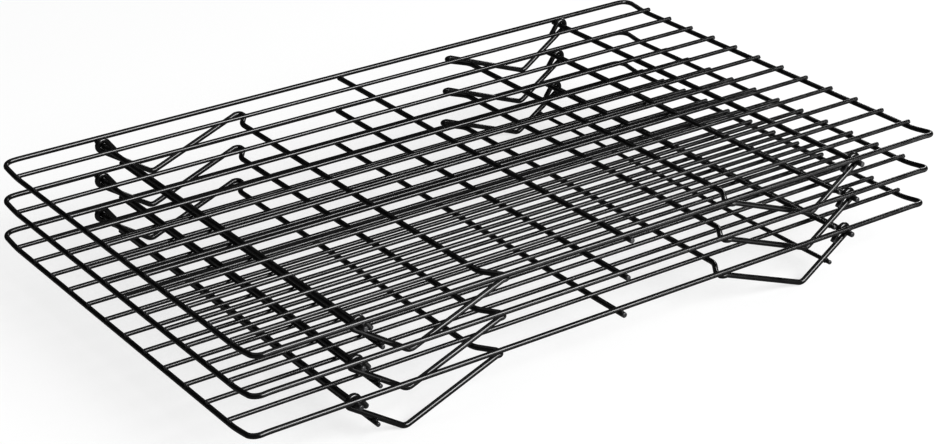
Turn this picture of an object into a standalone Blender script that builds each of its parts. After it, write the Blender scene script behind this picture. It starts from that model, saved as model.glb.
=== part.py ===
"""Stackable wire cooling rack, three tiers nested for storage with every leg folded underneath."""

import math
from itertools import accumulate

import bmesh
import bpy
from mathutils import Vector

# Grid, metres. Lengths are taken between wire centre lines unless they say otherwise.
LENGTH = 0.402
WIDTH = 0.250
CORNER_RADIUS = 0.005
DIP_LEAD = 0.004
LONG_RODS = 12
ROD_OVERHANG = 0.001
CROSS_OVERHANG = 0.003
HINGE_INSET = 0.0534

# Wire diameters
FRAME_WIRE = 0.0026
ROD_WIRE = 0.0022
CROSS_WIRE = 0.0028
LEG_WIRE = 0.0028
BRACE_WIRE = 0.0022

# Folded leg, seen from the side with the hinge axis as the origin and +X towards the rack's middle
EYE_RADIUS = 0.0029
EYE_WRAP = 200.0
TAIL_LENGTH = 0.0080
KNEE = (0.0270, -0.0217)
KNEE_RADIUS = 0.0045
TOE_REACH = 0.0810
TOE_FLAT = 0.0032
BAR_REACH = 0.0742
BAR_DROP = 0.0022
ARM_INSET = 0.0042
TOE_WIDTH = 0.0042
SHOULDER_INSET = 0.0178
BEND_RADIUS = 0.0090
TOE_RADIUS = 0.0019
BRACE_ALONG = 0.0168
BRACE_OVERHANG = 0.0035

# Nesting
TIERS = ("bottom", "middle", "top")
TIER_SLIP = 0.0018

# Drawing settings
SIDES = 8
GAP = 0.0003
COATING_COLOUR = (0.012, 0.012, 0.013, 1.0)
COATING_ROUGHNESS = 0.38
COATING_METALLIC = 0.0

# Heights of each layer above the tier's datum, which is the centre line of the frame's long sides
CROSS_Z = -(FRAME_WIRE + CROSS_WIRE) / 2
ROD_Z = CROSS_Z + (CROSS_WIRE + ROD_WIRE) / 2
SHORT_SIDE_Z = ROD_Z - (ROD_WIRE + FRAME_WIRE) / 2
BAR_Z = ROD_Z - (ROD_WIRE + LEG_WIRE) / 2 - CROSS_Z - BAR_DROP
ARM_Y = WIDTH / 2 - ARM_INSET


def flat_radius(diameter):
    """Distance from the wire's centre to its flats, which leaves half a gap inside the true surface."""
    return diameter / 2 - GAP / 2


def clear_scene():
    for obj in list(bpy.data.objects):
        bpy.data.objects.remove(obj, do_unlink=True)


def coating():
    material = bpy.data.materials.new("non_stick_coating")
    material.use_nodes = True
    shader = material.node_tree.nodes["Principled BSDF"]
    shader.inputs["Base Color"].default_value = COATING_COLOUR
    shader.inputs["Roughness"].default_value = COATING_ROUGHNESS
    shader.inputs["Metallic"].default_value = COATING_METALLIC
    return material


def arc(centre, radius, start, end, steps, plane):
    """Points on an arc, both ends included. plane gives the two directions that angle 0 and 90 point in."""
    first, second = plane
    points = []
    for i in range(steps + 1):
        a = math.radians(start + (end - start) * i / steps)
        points.append(centre + first * (radius * math.cos(a)) + second * (radius * math.sin(a)))
    return points


def fillet(before, corner, after, radius, steps):
    """The arc that rounds a corner of a bent wire, as points from the first tangent to the second."""
    back = (before - corner).normalized()
    ahead = (after - corner).normalized()
    half = back.angle(ahead) / 2
    middle = (back + ahead).normalized()
    centre = corner + middle * (radius / math.sin(half))
    sideways = (ahead - back).normalized()
    sweep = math.degrees(math.pi / 2 - half)
    return arc(centre, radius, -90 - sweep, -90 + sweep, steps, (sideways, middle))


def wire(name, path, diameter, closed=False):
    """One wire as a prism with SIDES flats, mitred at every bend. The first ring has flats facing up."""
    count = len(path)
    radius = flat_radius(diameter) / math.cos(math.pi / SIDES)
    spans = [(path[(i + 1) % count] - path[i]).normalized() for i in range(count if closed else count - 1)]
    across = Vector((0, 0, 1)).cross(spans[0]).normalized()
    rings = []
    mesh = bmesh.new()
    for i in range(count):
        into = spans[i - 1] if closed or i else spans[0]
        out = spans[i] if closed or i < count - 1 else spans[-1]
        if i:
            across = into.rotation_difference(out) @ across
        upright = out.cross(across).normalized()
        mitre = (into + out).normalized()
        ring = []
        for k in range(SIDES):
            a = 2 * math.pi * (k + 0.5) / SIDES
            offset = across * (radius * math.cos(a)) + upright * (radius * math.sin(a))
            offset -= out * (offset.dot(mitre) / out.dot(mitre))
            ring.append(mesh.verts.new(path[i] + offset))
        rings.append(ring)
    for i in range(count if closed else count - 1):
        a, b = rings[i], rings[(i + 1) % count]
        for k in range(SIDES):
            n = (k + 1) % SIDES
            mesh.faces.new((a[k], a[n], b[n], b[k]))
    if not closed:
        mesh.faces.new(tuple(reversed(rings[0])))
        mesh.faces.new(tuple(rings[-1]))
    bmesh.ops.recalc_face_normals(mesh, faces=mesh.faces)
    data = bpy.data.meshes.new(name)
    mesh.to_mesh(data)
    mesh.free()
    return data


def place(name, data, material, parent, location=(0, 0, 0)):
    obj = bpy.data.objects.new(name, data)
    bpy.context.scene.collection.objects.link(obj)
    data.materials.append(material)
    data.shade_smooth()
    data.set_sharp_from_angle(angle=math.radians(50))
    obj.parent = parent
    obj.location = location
    return obj


def empty(name, parent, location):
    obj = bpy.data.objects.new(name, None)
    bpy.context.scene.collection.objects.link(obj)
    obj.parent = parent
    obj.location = location
    return obj


def frame_path():
    """Rounded rectangle whose short sides dip, so that the rods lying on them come level with the long sides.

    Each corner is drawn from where the long side starts to fall, round the arc, to below the outermost rod.
    """
    x, y, r = LENGTH / 2, WIDTH / 2, CORNER_RADIUS
    rod_y = WIDTH * (0.5 - 1 / (LONG_RODS + 1))
    points = []
    for sx, sy in ((1, -1), (1, 1), (-1, 1), (-1, -1)):
        centre = Vector((sx * (x - r), sy * (y - r), 0))
        quarter = [Vector((sx * (x - r - DIP_LEAD), sy * y, 0))]
        quarter += arc(centre, r, 0, 90, 6, (Vector((0, sy, 0)), Vector((sx, 0, 0))))
        quarter += [Vector((sx * x, sy * (y - r + (rod_y - y + r) * i / 3), 0)) for i in (1, 2, 3)]
        travelled = [0.0] + list(accumulate((b - a).length for a, b in zip(quarter, quarter[1:])))
        for point, s in zip(quarter, travelled):
            t = s / travelled[-1]
            point.z = SHORT_SIDE_Z * t * t * (3 - 2 * t)
        points += quarter if sx * sy < 0 else list(reversed(quarter))
    return points


def straight(half_length, along):
    return [along * -half_length, along * half_length]


def arm_slope():
    """Slope of the arm that runs from below the hinge rod down to the knee."""
    slope = math.atan2(-KNEE[1], KNEE[0])
    for _ in range(20):
        start = (-EYE_RADIUS * math.sin(slope), -EYE_RADIUS * math.cos(slope))
        slope = math.atan2(start[1] - KNEE[1], KNEE[0] - start[0])
    return slope


def half_leg(side):
    """The leg wire from the middle of its cross bar, round the toe and the knee, to the tail of the eye."""
    slope = arm_slope()
    y = side * ARM_Y
    inner = side * (ARM_Y - TOE_WIDTH)
    bar_end = Vector((BAR_REACH, side * (WIDTH / 2 - SHOULDER_INSET), BAR_Z))
    toe_in = Vector((TOE_REACH, inner, BAR_Z))
    toe_out = Vector((TOE_REACH, y, BAR_Z))
    heel = Vector((TOE_REACH - TOE_FLAT, y, BAR_Z))
    knee = Vector((KNEE[0], y, KNEE[1]))
    eye = Vector((0, y, 0))
    plane = (Vector((1, 0, 0)), Vector((0, 0, 1)))
    wrap_start = -90 - math.degrees(slope)
    wrap_end = wrap_start - EYE_WRAP
    wrap = arc(eye, EYE_RADIUS, wrap_start, wrap_end, 9, plane)
    end = math.radians(wrap_end)
    tail = wrap[-1] + Vector((math.sin(end), 0, -math.cos(end))) * TAIL_LENGTH

    path = [Vector((BAR_REACH, 0, BAR_Z))]
    path += fillet(path[0], bar_end, toe_in, BEND_RADIUS, 3)
    path += fillet(bar_end, toe_in, toe_out, TOE_RADIUS, 3)
    path += fillet(toe_in, toe_out, heel, TOE_RADIUS, 4)
    path.append(heel)
    path += knee_bend(heel, knee, wrap[0])
    path += wrap
    path.append(tail)
    return path


def knee_bend(before, knee, after):
    """Rounds the knee with one exactly level span at its lowest point, which is the foot the rack stands on."""
    rise = math.degrees(math.atan2(before.z - knee.z, before.x - knee.x))
    fall = math.degrees(math.atan2(after.z - knee.z, knee.x - after.x))
    back = (before - knee).normalized()
    ahead = (after - knee).normalized()
    half = back.angle(ahead) / 2
    centre = knee + (back + ahead).normalized() * (KNEE_RADIUS / math.sin(half))
    level = 10.0
    turns = [rise, (rise + level) / 2, level, -level, -(level + fall) / 2, -fall]
    return [
        centre + Vector((math.sin(math.radians(t)), 0, -math.cos(math.radians(t)))) * KNEE_RADIUS
        for t in turns
    ]


def mirrored(path):
    """The path along +X turned into the same one along -X."""
    return [Vector((-p.x, p.y, p.z)) for p in path]


def leg_path():
    front = half_leg(-1)
    back = half_leg(1)
    return list(reversed(front)) + back[1:]


def brace_centre():
    slope = arm_slope()
    along = Vector((math.cos(slope), 0, -math.sin(slope)))
    outward = Vector((-math.sin(slope), 0, -math.cos(slope)))
    return outward * (EYE_RADIUS + (LEG_WIRE + BRACE_WIRE) / 2) + along * BRACE_ALONG


def foot_depth():
    """How far the level span of the knee lies below the hinge axis, down to its lower flat."""
    lowest = min(point.z for point in half_leg(-1))
    return -lowest + flat_radius(LEG_WIRE)


def tier_pitch():
    """The brace of one tier rests on the long sides of the tier below."""
    return (FRAME_WIRE + BRACE_WIRE) / 2 - CROSS_Z - brace_centre().z


def add_leg(tier, side, sign, parent, material):
    """One folding leg and its brace, with the hinge rod's axis as the origin of both."""
    hinge = (-sign * (LENGTH / 2 - HINGE_INSET), 0, CROSS_Z)
    turn = (lambda path: path) if sign > 0 else mirrored
    data = wire(f"{tier}_leg_wire_{side}", turn(leg_path()), LEG_WIRE)
    place(f"{tier}_leg_wire_{side}", data, material, parent, hinge)
    reach = Vector((0, ARM_Y + BRACE_OVERHANG, 0))
    centre = brace_centre()
    data = wire(f"{tier}_leg_brace_{side}", turn([centre - reach, centre + reach]), BRACE_WIRE)
    place(f"{tier}_leg_brace_{side}", data, material, parent, hinge)


def add_tier(tier, index, material):
    datum = empty(
        f"{tier}_tier", None, (TIER_SLIP * (index - 1), 0, foot_depth() - CROSS_Z + index * tier_pitch())
    )
    place(f"{tier}_frame_loop", wire("frame_loop", frame_path(), FRAME_WIRE, True), material, datum)
    along = straight(LENGTH / 2 + ROD_OVERHANG, Vector((1, 0, 0)))
    for k in range(1, LONG_RODS + 1):
        y = WIDTH * (k / (LONG_RODS + 1) - 0.5)
        place(f"{tier}_long_rod_{k:02d}", wire("long_rod", along, ROD_WIRE), material, datum, (0, y, ROD_Z))
    across = straight(WIDTH / 2 + CROSS_OVERHANG, Vector((0, 1, 0)))
    hinge_x = LENGTH / 2 - HINGE_INSET
    for side, x in (("left", -hinge_x), ("centre", 0), ("right", hinge_x)):
        data = wire("cross_rod", across, CROSS_WIRE)
        place(f"{tier}_cross_rod_{side}", data, material, datum, (x, 0, CROSS_Z))
    add_leg(tier, "left", 1, datum, material)
    add_leg(tier, "right", -1, datum, material)


def main():
    clear_scene()
    material = coating()
    for index, tier in enumerate(TIERS):
        add_tier(tier, index, material)


main()
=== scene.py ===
"""Looks for the nested stack of three folding wire cooling racks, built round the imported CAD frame."""

import math
import random
from itertools import accumulate

import bmesh
import bpy
from mathutils import Matrix, Vector


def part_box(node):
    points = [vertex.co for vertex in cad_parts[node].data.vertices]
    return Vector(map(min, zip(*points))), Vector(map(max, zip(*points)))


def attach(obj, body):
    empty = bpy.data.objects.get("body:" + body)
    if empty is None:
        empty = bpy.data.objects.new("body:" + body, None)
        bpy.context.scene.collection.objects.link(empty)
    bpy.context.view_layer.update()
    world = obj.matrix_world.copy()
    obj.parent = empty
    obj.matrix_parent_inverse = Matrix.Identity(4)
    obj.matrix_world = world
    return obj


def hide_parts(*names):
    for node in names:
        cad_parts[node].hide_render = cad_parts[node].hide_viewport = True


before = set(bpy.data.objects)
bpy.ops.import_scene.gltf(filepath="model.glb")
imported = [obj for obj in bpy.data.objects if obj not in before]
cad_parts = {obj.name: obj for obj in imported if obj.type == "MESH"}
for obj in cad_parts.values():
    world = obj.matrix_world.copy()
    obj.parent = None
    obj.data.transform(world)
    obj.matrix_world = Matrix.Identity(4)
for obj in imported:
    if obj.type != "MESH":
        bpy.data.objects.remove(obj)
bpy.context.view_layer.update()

TIERS = ("bottom", "middle", "top")
X, Y, Z = Vector((1, 0, 0)), Vector((0, 1, 0)), Vector((0, 0, 1))

# Wire diameters over the coating, metres. The CAD's wires are slimmer by CAD_GAP.
FRAME_WIRE = 0.0026
ROD_WIRE = 0.0022
CROSS_WIRE = 0.0028
LEG_WIRE = 0.0028
BRACE_WIRE = 0.0022
CAD_GAP = 0.0003

# Grid
LONG_RODS = 12
CORNER_RADIUS = 0.005
DIP_LEAD = 0.004
ROD_OVERHANG = 0.001
CROSS_OVERHANG = 0.003

# Heights above the centre line of the frame's long sides
CROSS_Z = -(FRAME_WIRE + CROSS_WIRE) / 2
ROD_Z = CROSS_Z + (CROSS_WIRE + ROD_WIRE) / 2
SHORT_SIDE_Z = ROD_Z - (ROD_WIRE + FRAME_WIRE) / 2

# Folded leg, with the hinge axis as the origin and +X towards the rack's middle
EYE_RADIUS = 0.0029
EYE_WRAP = 200.0
TAIL_LENGTH = 0.0080
KNEE = (0.0270, -0.0217)
KNEE_RADIUS = 0.0045
TOE_REACH = 0.0810
TOE_FLAT = 0.0032
TOE_WIDTH = 0.0042
TOE_RADIUS = 0.0019
BAR_REACH = 0.0742
BAR_DROP = 0.0022
BAR_Z = ROD_Z - (ROD_WIRE + LEG_WIRE) / 2 - CROSS_Z - BAR_DROP
ARM_INSET = 0.0042
SHOULDER_INSET = 0.0178
BEND_RADIUS = 0.0090

# Drawing of the wires: sides, degrees per step of a bend, points along a dip, least distance between points
SIDES = 24
BEND_STEP = 5.0
LEAD_STEPS = 4
DIP_STEPS = 10
SAME_POINT = 1e-6
SLOPE_ROUNDS = 20
NEARLY_UPRIGHT = 0.9

# Cut ends: rounding of the edge and bulge of the cut, both in wire radii, and the metres of worn look behind
END_ROUNDING = 0.42
END_STEPS = 5
END_INNER = 0.5
END_BULGE = 0.02
END_REACH = 0.0012

# Weld collars: smallest and largest waist radius where each pair of wires crosses, metres. The rims are wider
# by WELD_FLARE and sink WELD_BITE into the wires, and the collar is closed WELD_CORE inside them.
ROD_ON_CROSS = (0.00085, 0.00100)
ROD_ON_SHORT_SIDE = (0.00080, 0.00095)
LONG_SIDE_ON_CROSS = (0.00095, 0.00110)
ARM_ON_BRACE = (0.00095, 0.00110)
WELD_STEPS = 20
WELD_LEVELS = 4
WELD_FLARE = 0.55
WELD_BITE = 0.00012
WELD_CORE = 0.0004
WELD_WEAR = 0.35
WELD_SEED = 7

# Coating of each kind of wire: name, shade of black, roughness, seed of the texture's place
COATINGS = {
    "frame": ("coating_frame", 0.0035, 0.24, 1),
    "rod": ("coating_rods", 0.0035, 0.23, 2),
    "cross": ("coating_cross_rods", 0.0032, 0.26, 3),
    "leg": ("coating_legs", 0.0035, 0.23, 4),
    "weld": ("coating_welds", 0.0032, 0.30, 5),
}
SEED_SHIFT = (0.37, 0.71, 0.13)
SPECULAR = 0.50

# Noise in the coating: scale, detail, roughness
CLOUD = (90.0, 4.0, 0.6)
PEEL = (1500.0, 3.0, 0.55)
GRIT = (5200.0, 2.0, 0.5)

# Cloudiness: how it tints the black and spreads the roughness, over which range of the noise
TINT_DARK = (0.75, 0.75, 0.80)
TINT_LIGHT = (1.35, 1.33, 1.30)
TINT_RANGE = (0.30, 0.72)
ROUGHNESS_SPREAD = (-0.06, 0.08)
ROUGHNESS_RANGE = (0.3, 0.7)
WORN_COLOUR = (0.034, 0.034, 0.036, 1)

# Bumps: strength, height in metres
PEEL_BUMP = (0.15, 0.00006)
GRIT_BUMP = (0.12, 0.00002)

# Stage
FLOOR_SIZE = 12.0
FLOOR_Z = -0.0002
FLOOR_WHITE = (0.14, 0.14, 0.14, 1)
FLOOR_GLOW = 0.74
FLOOR_ROUGHNESS = 0.9
FLOOR_SPECULAR = 0.1
ROOM_LIGHT = 0.50
BACKDROP = 0.81
GAMMA = 0.8
WHITE = (1, 1, 1, 1)

# Softboxes: name, position, the point it faces, size, power in watts
RACK_MIDDLE = (0, 0, 0.05)
SOFTBOXES = (
    ("key", (0.80, -2.43, 1.76), RACK_MIDDLE, (2.5, 1.65), 245.0),
    ("overhead", (-0.2, 0.3, 1.6), (0, 0, 0), (1.8, 1.8), 7.0),
    ("rim", (1.6, 1.0, 0.7), RACK_MIDDLE, (0.5, 0.5), 7.0),
    ("floor_glow", (0, 0, 0.0005), (0, 0, 1), (3.0, 3.0), 6.0),
    ("floor_glare", (0.45, -0.60, 0.002), (0.45, -0.60, 1), (1.2, 0.8), 7.0),
)

# Camera, at the photograph's viewing angle. Angles in degrees, lens and sensor in millimetres.
VIEW_AIM = (-0.0508, -0.0704, 0.0630)
VIEW_AZIMUTH = -125.0
VIEW_ELEVATION = 25.34
VIEW_DISTANCE = 1.0590
VIEW_ROLL = -0.61
LENS = 86.2
SENSOR = 36.0


# ---------------------------------------------------------------- places taken from the CAD

def centre_of(node):
    low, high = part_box(node)
    return (low + high) / 2


def half_size(node):
    low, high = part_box(node)
    return (high - low) / 2


def datum_of(tier):
    """The middle of the tier, at the height of the frame's long sides."""
    low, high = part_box(f"{tier}_frame_loop")
    return Vector(((low.x + high.x) / 2, (low.y + high.y) / 2, high.z - (FRAME_WIRE - CAD_GAP) / 2))


def loop_half_size(tier):
    """Half length and half width of the frame loop, to the wire's centre line."""
    half_x = half_size(f"{tier}_long_rod_01").x - ROD_OVERHANG
    half_y = half_size(f"{tier}_cross_rod_centre").y - CROSS_OVERHANG
    return half_x, half_y


# ---------------------------------------------------------------- wire paths

def arc(centre, radius, start, end, plane):
    """Points on an arc, both ends included. plane gives the two directions that angle 0 and 90 point in."""
    first, second = plane
    steps = max(2, math.ceil(abs(end - start) / BEND_STEP))
    points = []
    for i in range(steps + 1):
        a = math.radians(start + (end - start) * i / steps)
        points.append(centre + first * (radius * math.cos(a)) + second * (radius * math.sin(a)))
    return points


def fillet(before, corner, after, radius):
    """The arc that rounds a corner of a bent wire, as points from the first tangent to the second."""
    back = (before - corner).normalized()
    ahead = (after - corner).normalized()
    half = back.angle(ahead) / 2
    middle = (back + ahead).normalized()
    centre = corner + middle * (radius / math.sin(half))
    sweep = math.degrees(math.pi / 2 - half)
    return arc(centre, radius, -90 - sweep, -90 + sweep, ((ahead - back).normalized(), middle))


def loop_path(half_x, half_y):
    """Rounded rectangle whose short sides dip, so that the rods lying on them come level with the long sides.

    Each corner is drawn from where the long side starts to fall, round the arc, to below the outermost rod.
    """
    r = CORNER_RADIUS
    rod_y = half_y * (1 - 2 / (LONG_RODS + 1))
    points = []
    for sx, sy in ((1, -1), (1, 1), (-1, 1), (-1, -1)):
        centre = Vector((sx * (half_x - r), sy * (half_y - r), 0))
        quarter = []
        for i in range(LEAD_STEPS):
            lead = DIP_LEAD * (1 - i / LEAD_STEPS)
            quarter.append(Vector((sx * (half_x - r - lead), sy * half_y, 0)))
        quarter += arc(centre, r, 0, 90, (Vector((0, sy, 0)), Vector((sx, 0, 0))))
        for i in range(1, DIP_STEPS + 1):
            y = half_y - r + (rod_y - half_y + r) * i / DIP_STEPS
            quarter.append(Vector((sx * half_x, sy * y, 0)))
        travelled = [0.0] + list(accumulate((b - a).length for a, b in zip(quarter, quarter[1:])))
        for point, s in zip(quarter, travelled):
            t = s / travelled[-1]
            point.z = SHORT_SIDE_Z * t * t * (3 - 2 * t)
        points += quarter if sx * sy < 0 else list(reversed(quarter))
    return points


def arm_slope():
    """Slope of the arm that runs from below the hinge rod down to the knee, found by repeated correction."""
    slope = math.atan2(-KNEE[1], KNEE[0])
    for _ in range(SLOPE_ROUNDS):
        start = (-EYE_RADIUS * math.sin(slope), -EYE_RADIUS * math.cos(slope))
        slope = math.atan2(start[1] - KNEE[1], KNEE[0] - start[0])
    return slope


def half_leg(side, half_width):
    """The leg wire from the middle of its cross bar, round the toe and the knee, to the tail of the eye."""
    y = side * (half_width - ARM_INSET)
    inner = side * (half_width - ARM_INSET - TOE_WIDTH)
    bar_end = Vector((BAR_REACH, side * (half_width - SHOULDER_INSET), BAR_Z))
    toe_in = Vector((TOE_REACH, inner, BAR_Z))
    toe_out = Vector((TOE_REACH, y, BAR_Z))
    heel = Vector((TOE_REACH - TOE_FLAT, y, BAR_Z))
    knee = Vector((KNEE[0], y, KNEE[1]))
    eye = Vector((0, y, 0))
    wrap_start = -90 - math.degrees(arm_slope())
    wrap_end = wrap_start - EYE_WRAP
    wrap = arc(eye, EYE_RADIUS, wrap_start, wrap_end, (X, Z))
    end = math.radians(wrap_end)
    tail = wrap[-1] + Vector((math.sin(end), 0, -math.cos(end))) * TAIL_LENGTH

    path = [Vector((BAR_REACH, 0, BAR_Z))]
    path += fillet(path[0], bar_end, toe_in, BEND_RADIUS)
    path += fillet(bar_end, toe_in, toe_out, TOE_RADIUS)
    path += fillet(toe_in, toe_out, heel, TOE_RADIUS)
    path.append(heel)
    path += fillet(heel, knee, wrap[0], KNEE_RADIUS)
    path += wrap
    path.append(tail)
    return path


def leg_path(half_width, sign):
    """The whole leg wire, tail to tail. sign is 1 for the left leg, -1 for its mirror image on the right."""
    front = half_leg(-1, half_width)
    back = half_leg(1, half_width)
    return [Vector((sign * p.x, p.y, p.z)) for p in list(reversed(front)) + back[1:]]


# ---------------------------------------------------------------- meshes

def bridge(mesh, a, b):
    for k in range(len(a)):
        n = (k + 1) % len(a)
        mesh.faces.new((a[k], a[n], b[n], b[k]))


def close_ring(mesh, ring, point, wear):
    """Fans a ring shut on one middle point."""
    pole = mesh.verts.new(point)
    pole[mesh.verts.layers.float["end"]] = wear
    for k in range(len(ring)):
        mesh.faces.new((ring[k], ring[(k + 1) % len(ring)], pole))


def end_rings(tip, outward, radius):
    """(centre, radius) of the rings that round a cut end over, from the full wire to the flat of the cut."""
    edge = END_ROUNDING * radius
    made = []
    for i in range(END_STEPS + 1):
        a = math.pi / 2 * i / END_STEPS
        made.append((tip - outward * (edge - edge * math.sin(a)), radius - edge + edge * math.cos(a)))
    made.append((tip, (radius - edge) * END_INNER))
    return made


def add_tube(mesh, path, radius, closed=False):
    """A round wire along a path. Open ends are cut square, with the edge rounded over by the coating."""
    path = [p for i, p in enumerate(path) if i == 0 or (p - path[i - 1]).length > SAME_POINT]
    count = len(path)
    end_layer = mesh.verts.layers.float["end"]
    spans = [(path[(i + 1) % count] - path[i]).normalized() for i in range(count if closed else count - 1)]
    across = (Z if abs(spans[0].z) < NEARLY_UPRIGHT else X).cross(spans[0]).normalized()
    worn = END_ROUNDING * radius + END_REACH

    def ring(centre, side, up, r, end=0.0):
        made = []
        for k in range(SIDES):
            a = 2 * math.pi * k / SIDES
            v = mesh.verts.new(centre + side * (r * math.cos(a)) + up * (r * math.sin(a)))
            v[end_layer] = end
            made.append(v)
        return made

    rings = []
    for i in range(count):
        into = spans[i - 1] if closed or i else spans[0]
        out = spans[i] if closed or i < count - 1 else spans[-1]
        if i:
            across = into.rotation_difference(out) @ across
        tangent = (into + out).normalized()
        side = (across - tangent * across.dot(tangent)).normalized()
        up = tangent.cross(side)
        if not closed and i == 0:
            cap = end_rings(path[0], -tangent, radius)
            rings += [ring(c, side, up, r, 1.0) for c, r in reversed(cap)]
            rings.append(ring(path[0] + tangent * worn, side, up, radius))
        elif not closed and i == count - 1:
            rings.append(ring(path[-1] - tangent * worn, side, up, radius))
            rings += [ring(c, side, up, r, 1.0) for c, r in end_rings(path[-1], tangent, radius)]
        else:
            rings.append(ring(path[i], side, up, radius))
    for i in range(len(rings) if closed else len(rings) - 1):
        bridge(mesh, rings[i], rings[(i + 1) % len(rings)])
    if not closed:
        close_ring(mesh, rings[0], path[0] - spans[0] * (END_BULGE * radius), 1.0)
        close_ring(mesh, rings[-1], path[-1] + spans[-1] * (END_BULGE * radius), 1.0)


def add_weld(mesh, point, up, low_axis, low_radius, high_radius, waist):
    """The small collar that melts between two crossing wires: waisted at the contact, flaring onto both.

    point is where the wires touch, up points to the upper one and low_axis runs along the lower one.
    """
    high_axis = up.cross(low_axis).normalized()
    end_layer = mesh.verts.layers.float["end"]
    rings = []
    for level in range(-WELD_LEVELS, WELD_LEVELS + 1):
        s = level / WELD_LEVELS
        reach = waist * (1 + WELD_FLARE * s * s)
        ring = []
        for k in range(WELD_STEPS):
            a = 2 * math.pi * k / WELD_STEPS
            along_low = reach * math.cos(a)
            along_high = reach * math.sin(a)
            low = math.sqrt(max(low_radius ** 2 - along_high ** 2, 0)) - low_radius
            high = high_radius - math.sqrt(max(high_radius ** 2 - along_low ** 2, 0))
            height = (low + high) / 2 + ((high - low) / 2 + WELD_BITE) * s
            v = mesh.verts.new(point + low_axis * along_low + high_axis * along_high + up * height)
            v[end_layer] = WELD_WEAR
            ring.append(v)
        rings.append(ring)
    for a, b in zip(rings, rings[1:]):
        bridge(mesh, a, b)
    close_ring(mesh, rings[0], point - up * WELD_CORE, WELD_WEAR)
    close_ring(mesh, rings[-1], point + up * WELD_CORE, WELD_WEAR)


class Piece:
    """A mesh under construction, as in `with Piece(...) as mesh`. It lands in the scene riding its body."""

    def __init__(self, name, body, material, nodes=(), location=(0, 0, 0)):
        self.name, self.body, self.material = name, body, material
        self.nodes, self.location = nodes, location

    def __enter__(self):
        self.mesh = bmesh.new()
        self.mesh.verts.layers.float.new("end")
        return self.mesh

    def __exit__(self, kind, value, trace):
        if kind:
            return False
        bmesh.ops.recalc_face_normals(self.mesh, faces=self.mesh.faces)
        data = bpy.data.meshes.new(self.name)
        self.mesh.to_mesh(data)
        self.mesh.free()
        data.shade_smooth()
        data.materials.append(self.material)
        obj = bpy.data.objects.new(self.name, data)
        bpy.context.scene.collection.objects.link(obj)
        obj.location = self.location
        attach(obj, self.body)
        if self.nodes:
            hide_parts(*self.nodes)
        return False


# ---------------------------------------------------------------- materials

def new_material(name):
    """A material, its node tree and its main shader."""
    material = bpy.data.materials.new(name)
    material.use_nodes = True
    return material, material.node_tree, material.node_tree.nodes["Principled BSDF"]


def set_inputs(node, values):
    for name, value in values.items():
        node.inputs[name].default_value = value


def coating(name, shade, roughness, seed):
    """Satin black coating: faint cloudiness, orange peel, and a greyer look where it thins at cut ends."""
    material, tree, shader = new_material(name)
    set_inputs(shader, {"Specular IOR Level": SPECULAR})

    def node(kind, **values):
        made = tree.nodes.new(kind)
        for key, value in values.items():
            if key in made.inputs:
                made.inputs[key].default_value = value
            else:
                setattr(made, key, value)
        return made

    def link(a, b):
        tree.links.new(a, b)

    def noise(scale, detail, grain):
        texture = node("ShaderNodeTexNoise", Scale=scale, Detail=detail, Roughness=grain)
        link(shift.outputs["Vector"], texture.inputs["Vector"])
        return texture

    place = node("ShaderNodeTexCoord")
    shift = node("ShaderNodeMapping", Location=[seed * step for step in SEED_SHIFT])
    link(place.outputs["Object"], shift.inputs["Vector"])
    cloud, peel, grit = noise(*CLOUD), noise(*PEEL), noise(*GRIT)

    tone = node("ShaderNodeValToRGB")
    for stop, position, tint in zip(tone.color_ramp.elements, TINT_RANGE, (TINT_DARK, TINT_LIGHT)):
        stop.position = position
        stop.color = [shade * part for part in tint] + [1]
    link(cloud.outputs["Fac"], tone.inputs["Fac"])

    end = node("ShaderNodeAttribute", attribute_name="end")
    worn = node("ShaderNodeMath", operation="MULTIPLY")
    link(end.outputs["Fac"], worn.inputs[0])
    link(peel.outputs["Fac"], worn.inputs[1])
    blend = node("ShaderNodeMix", data_type="RGBA")
    colour_a, colour_b, colour_out = blend.inputs[6], blend.inputs[7], blend.outputs[2]
    link(worn.outputs[0], blend.inputs["Factor"])
    link(tone.outputs["Color"], colour_a)
    colour_b.default_value = WORN_COLOUR
    link(colour_out, shader.inputs["Base Color"])

    rough = node("ShaderNodeMapRange")
    set_inputs(rough, {
        "From Min": ROUGHNESS_RANGE[0],
        "From Max": ROUGHNESS_RANGE[1],
        "To Min": roughness + ROUGHNESS_SPREAD[0],
        "To Max": roughness + ROUGHNESS_SPREAD[1],
    })
    link(cloud.outputs["Fac"], rough.inputs["Value"])
    link(rough.outputs["Result"], shader.inputs["Roughness"])

    coarse = node("ShaderNodeBump", Strength=PEEL_BUMP[0], Distance=PEEL_BUMP[1])
    fine = node("ShaderNodeBump", Strength=GRIT_BUMP[0], Distance=GRIT_BUMP[1])
    link(peel.outputs["Fac"], coarse.inputs["Height"])
    link(grit.outputs["Fac"], fine.inputs["Height"])
    link(coarse.outputs["Normal"], fine.inputs["Normal"])
    link(fine.outputs["Normal"], shader.inputs["Normal"])
    return material


# ---------------------------------------------------------------- the racks

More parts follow.
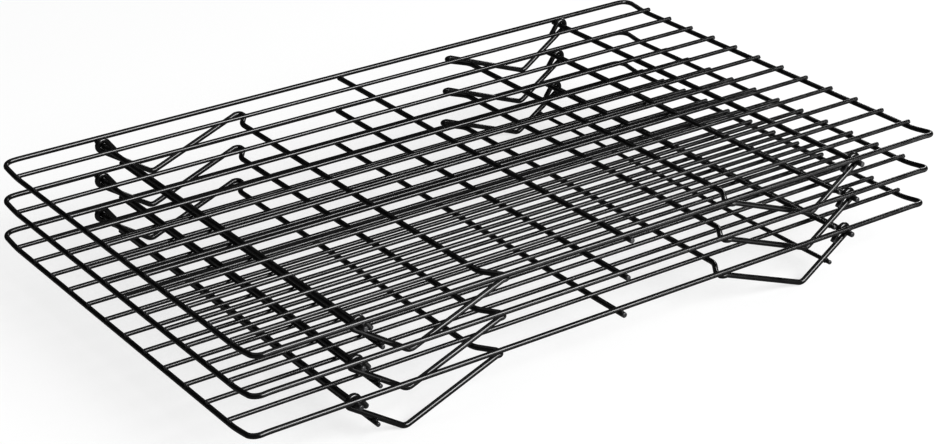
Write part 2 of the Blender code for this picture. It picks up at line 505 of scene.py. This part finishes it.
def build_grid(tier, looks, dice):
    """The frame loop, rods and welds of one tier. Returns the loop's half width."""
    datum = datum_of(tier)
    half_x, half_y = loop_half_size(tier)
    body = f"{tier}_grid"
    with Piece(f"{tier}_loop_wire", body, looks["frame"], [f"{tier}_frame_loop"], datum) as mesh:
        add_tube(mesh, loop_path(half_x, half_y), FRAME_WIRE / 2, closed=True)

    rods = []
    for k in range(1, LONG_RODS + 1):
        node = f"{tier}_long_rod_{k:02d}"
        centre, reach = centre_of(node), half_size(node).x
        rods.append(centre)
        with Piece(f"{tier}_rod_wire_{k:02d}", body, looks["rod"], [node], centre) as mesh:
            add_tube(mesh, [X * -reach, X * reach], ROD_WIRE / 2)

    crosses = []
    for side in ("left", "centre", "right"):
        node = f"{tier}_cross_rod_{side}"
        centre, reach = centre_of(node), half_size(node).y
        crosses.append(centre)
        with Piece(f"{tier}_cross_wire_{side}", body, looks["cross"], [node], centre) as mesh:
            add_tube(mesh, [Y * -reach, Y * reach], CROSS_WIRE / 2)

    with Piece(f"{tier}_grid_welds", body, looks["weld"]) as mesh:
        for rod in rods:
            for cross in crosses:
                point = Vector((cross.x, rod.y, cross.z + CROSS_WIRE / 2))
                add_weld(mesh, point, Z, Y, CROSS_WIRE / 2, ROD_WIRE / 2, dice.uniform(*ROD_ON_CROSS))
            for end in (-1, 1):
                point = Vector((datum.x + end * half_x, rod.y, datum.z + SHORT_SIDE_Z + FRAME_WIRE / 2))
                add_weld(mesh, point, Z, Y, FRAME_WIRE / 2, ROD_WIRE / 2, dice.uniform(*ROD_ON_SHORT_SIDE))
        for cross in crosses:
            for end in (-1, 1):
                point = Vector((cross.x, datum.y + end * half_y, cross.z + CROSS_WIRE / 2))
                add_weld(mesh, point, Z, Y, CROSS_WIRE / 2, FRAME_WIRE / 2, dice.uniform(*LONG_SIDE_ON_CROSS))
    return half_y


def build_leg(tier, side, sign, half_width, looks, dice):
    """The bent wire, brace and welds of one leg. sign is 1 for a left leg and -1 for a right one."""
    body = f"{tier}_{side}_leg"
    hinge = centre_of(f"{tier}_cross_rod_{side}")
    node = f"{tier}_leg_wire_{side}"
    with Piece(f"{tier}_leg_bent_wire_{side}", body, looks["leg"], [node], hinge) as mesh:
        add_tube(mesh, leg_path(half_width, sign), LEG_WIRE / 2)
    node = f"{tier}_leg_brace_{side}"
    centre, reach = centre_of(node), half_size(node).y
    with Piece(f"{tier}_brace_wire_{side}", body, looks["leg"], [node], centre) as mesh:
        add_tube(mesh, [Y * -reach, Y * reach], BRACE_WIRE / 2)
    slope = arm_slope()
    up = Vector((sign * math.sin(slope), 0, math.cos(slope)))
    with Piece(f"{tier}_leg_welds_{side}", body, looks["weld"]) as mesh:
        for end in (-1, 1):
            on_arm = Vector((centre.x, hinge.y + end * (half_width - ARM_INSET), centre.z))
            point = on_arm + up * (BRACE_WIRE / 2)
            add_weld(mesh, point, up, Y, BRACE_WIRE / 2, LEG_WIRE / 2, dice.uniform(*ARM_ON_BRACE))


def build_racks():
    looks = {kind: coating(*values) for kind, values in COATINGS.items()}
    dice = random.Random(WELD_SEED)
    for tier in TIERS:
        half_width = build_grid(tier, looks, dice)
        build_leg(tier, "left", 1, half_width, looks, dice)
        build_leg(tier, "right", -1, half_width, looks, dice)


# ---------------------------------------------------------------- stage, light, camera

def make_floor():
    """A plain floor that glows a little, so that it stays white under soft light, with faint shadows."""
    mesh = bmesh.new()
    bmesh.ops.create_grid(mesh, x_segments=1, y_segments=1, size=FLOOR_SIZE)
    data = bpy.data.meshes.new("floor")
    mesh.to_mesh(data)
    mesh.free()
    floor = bpy.data.objects.new("floor", data)
    bpy.context.scene.collection.objects.link(floor)
    floor.location.z = FLOOR_Z
    floor.visible_glossy = False
    material, _, shader = new_material("floor_white")
    set_inputs(shader, {
        "Base Color": FLOOR_WHITE,
        "Roughness": FLOOR_ROUGHNESS,
        "Specular IOR Level": FLOOR_SPECULAR,
        "Emission Color": WHITE,
        "Emission Strength": FLOOR_GLOW,
    })
    data.materials.append(material)


def softbox(name, position, aim, size, power):
    light = bpy.data.lights.new(name, "AREA")
    light.shape = "RECTANGLE"
    light.size, light.size_y = size
    light.energy = power
    obj = bpy.data.objects.new(name, light)
    bpy.context.scene.collection.objects.link(obj)
    obj.location = position
    obj.rotation_mode = "QUATERNION"
    obj.rotation_quaternion = (Vector(aim) - Vector(position)).to_track_quat("-Z", "Y")
    obj.visible_camera = False


def make_light():
    """Softboxes in an even white room, which the wires don't mirror and which blends with the far floor."""
    world = bpy.data.worlds.new("studio")
    bpy.context.scene.world = world
    world.use_nodes = True
    world.cycles_visibility.glossy = False
    tree = world.node_tree
    background = tree.nodes["Background"]
    set_inputs(background, {"Color": WHITE})
    path = tree.nodes.new("ShaderNodeLightPath")
    strength = tree.nodes.new("ShaderNodeMapRange")
    set_inputs(strength, {"To Min": ROOM_LIGHT, "To Max": BACKDROP})
    tree.links.new(path.outputs["Is Camera Ray"], strength.inputs["Value"])
    tree.links.new(strength.outputs["Result"], background.inputs["Strength"])
    for box in SOFTBOXES:
        softbox(*box)
    view = bpy.context.scene.view_settings
    view.view_transform = "Standard"
    view.gamma = GAMMA


def make_camera():
    azimuth, elevation = math.radians(VIEW_AZIMUTH), math.radians(VIEW_ELEVATION)
    back = Vector((
        math.cos(elevation) * math.cos(azimuth),
        math.cos(elevation) * math.sin(azimuth),
        math.sin(elevation),
    ))
    right = Z.cross(back).normalized()
    right = Matrix.Rotation(math.radians(VIEW_ROLL), 3, back) @ right
    up = back.cross(right)
    data = bpy.data.cameras.new("camera")
    data.lens = LENS
    data.sensor_width = SENSOR
    camera = bpy.data.objects.new("camera", data)
    bpy.context.scene.collection.objects.link(camera)
    turned = Matrix((right, up, back)).transposed().to_4x4()
    camera.matrix_world = Matrix.Translation(Vector(VIEW_AIM) + back * VIEW_DISTANCE) @ turned
    bpy.context.scene.camera = camera


build_racks()
make_floor()
make_light()
make_camera()
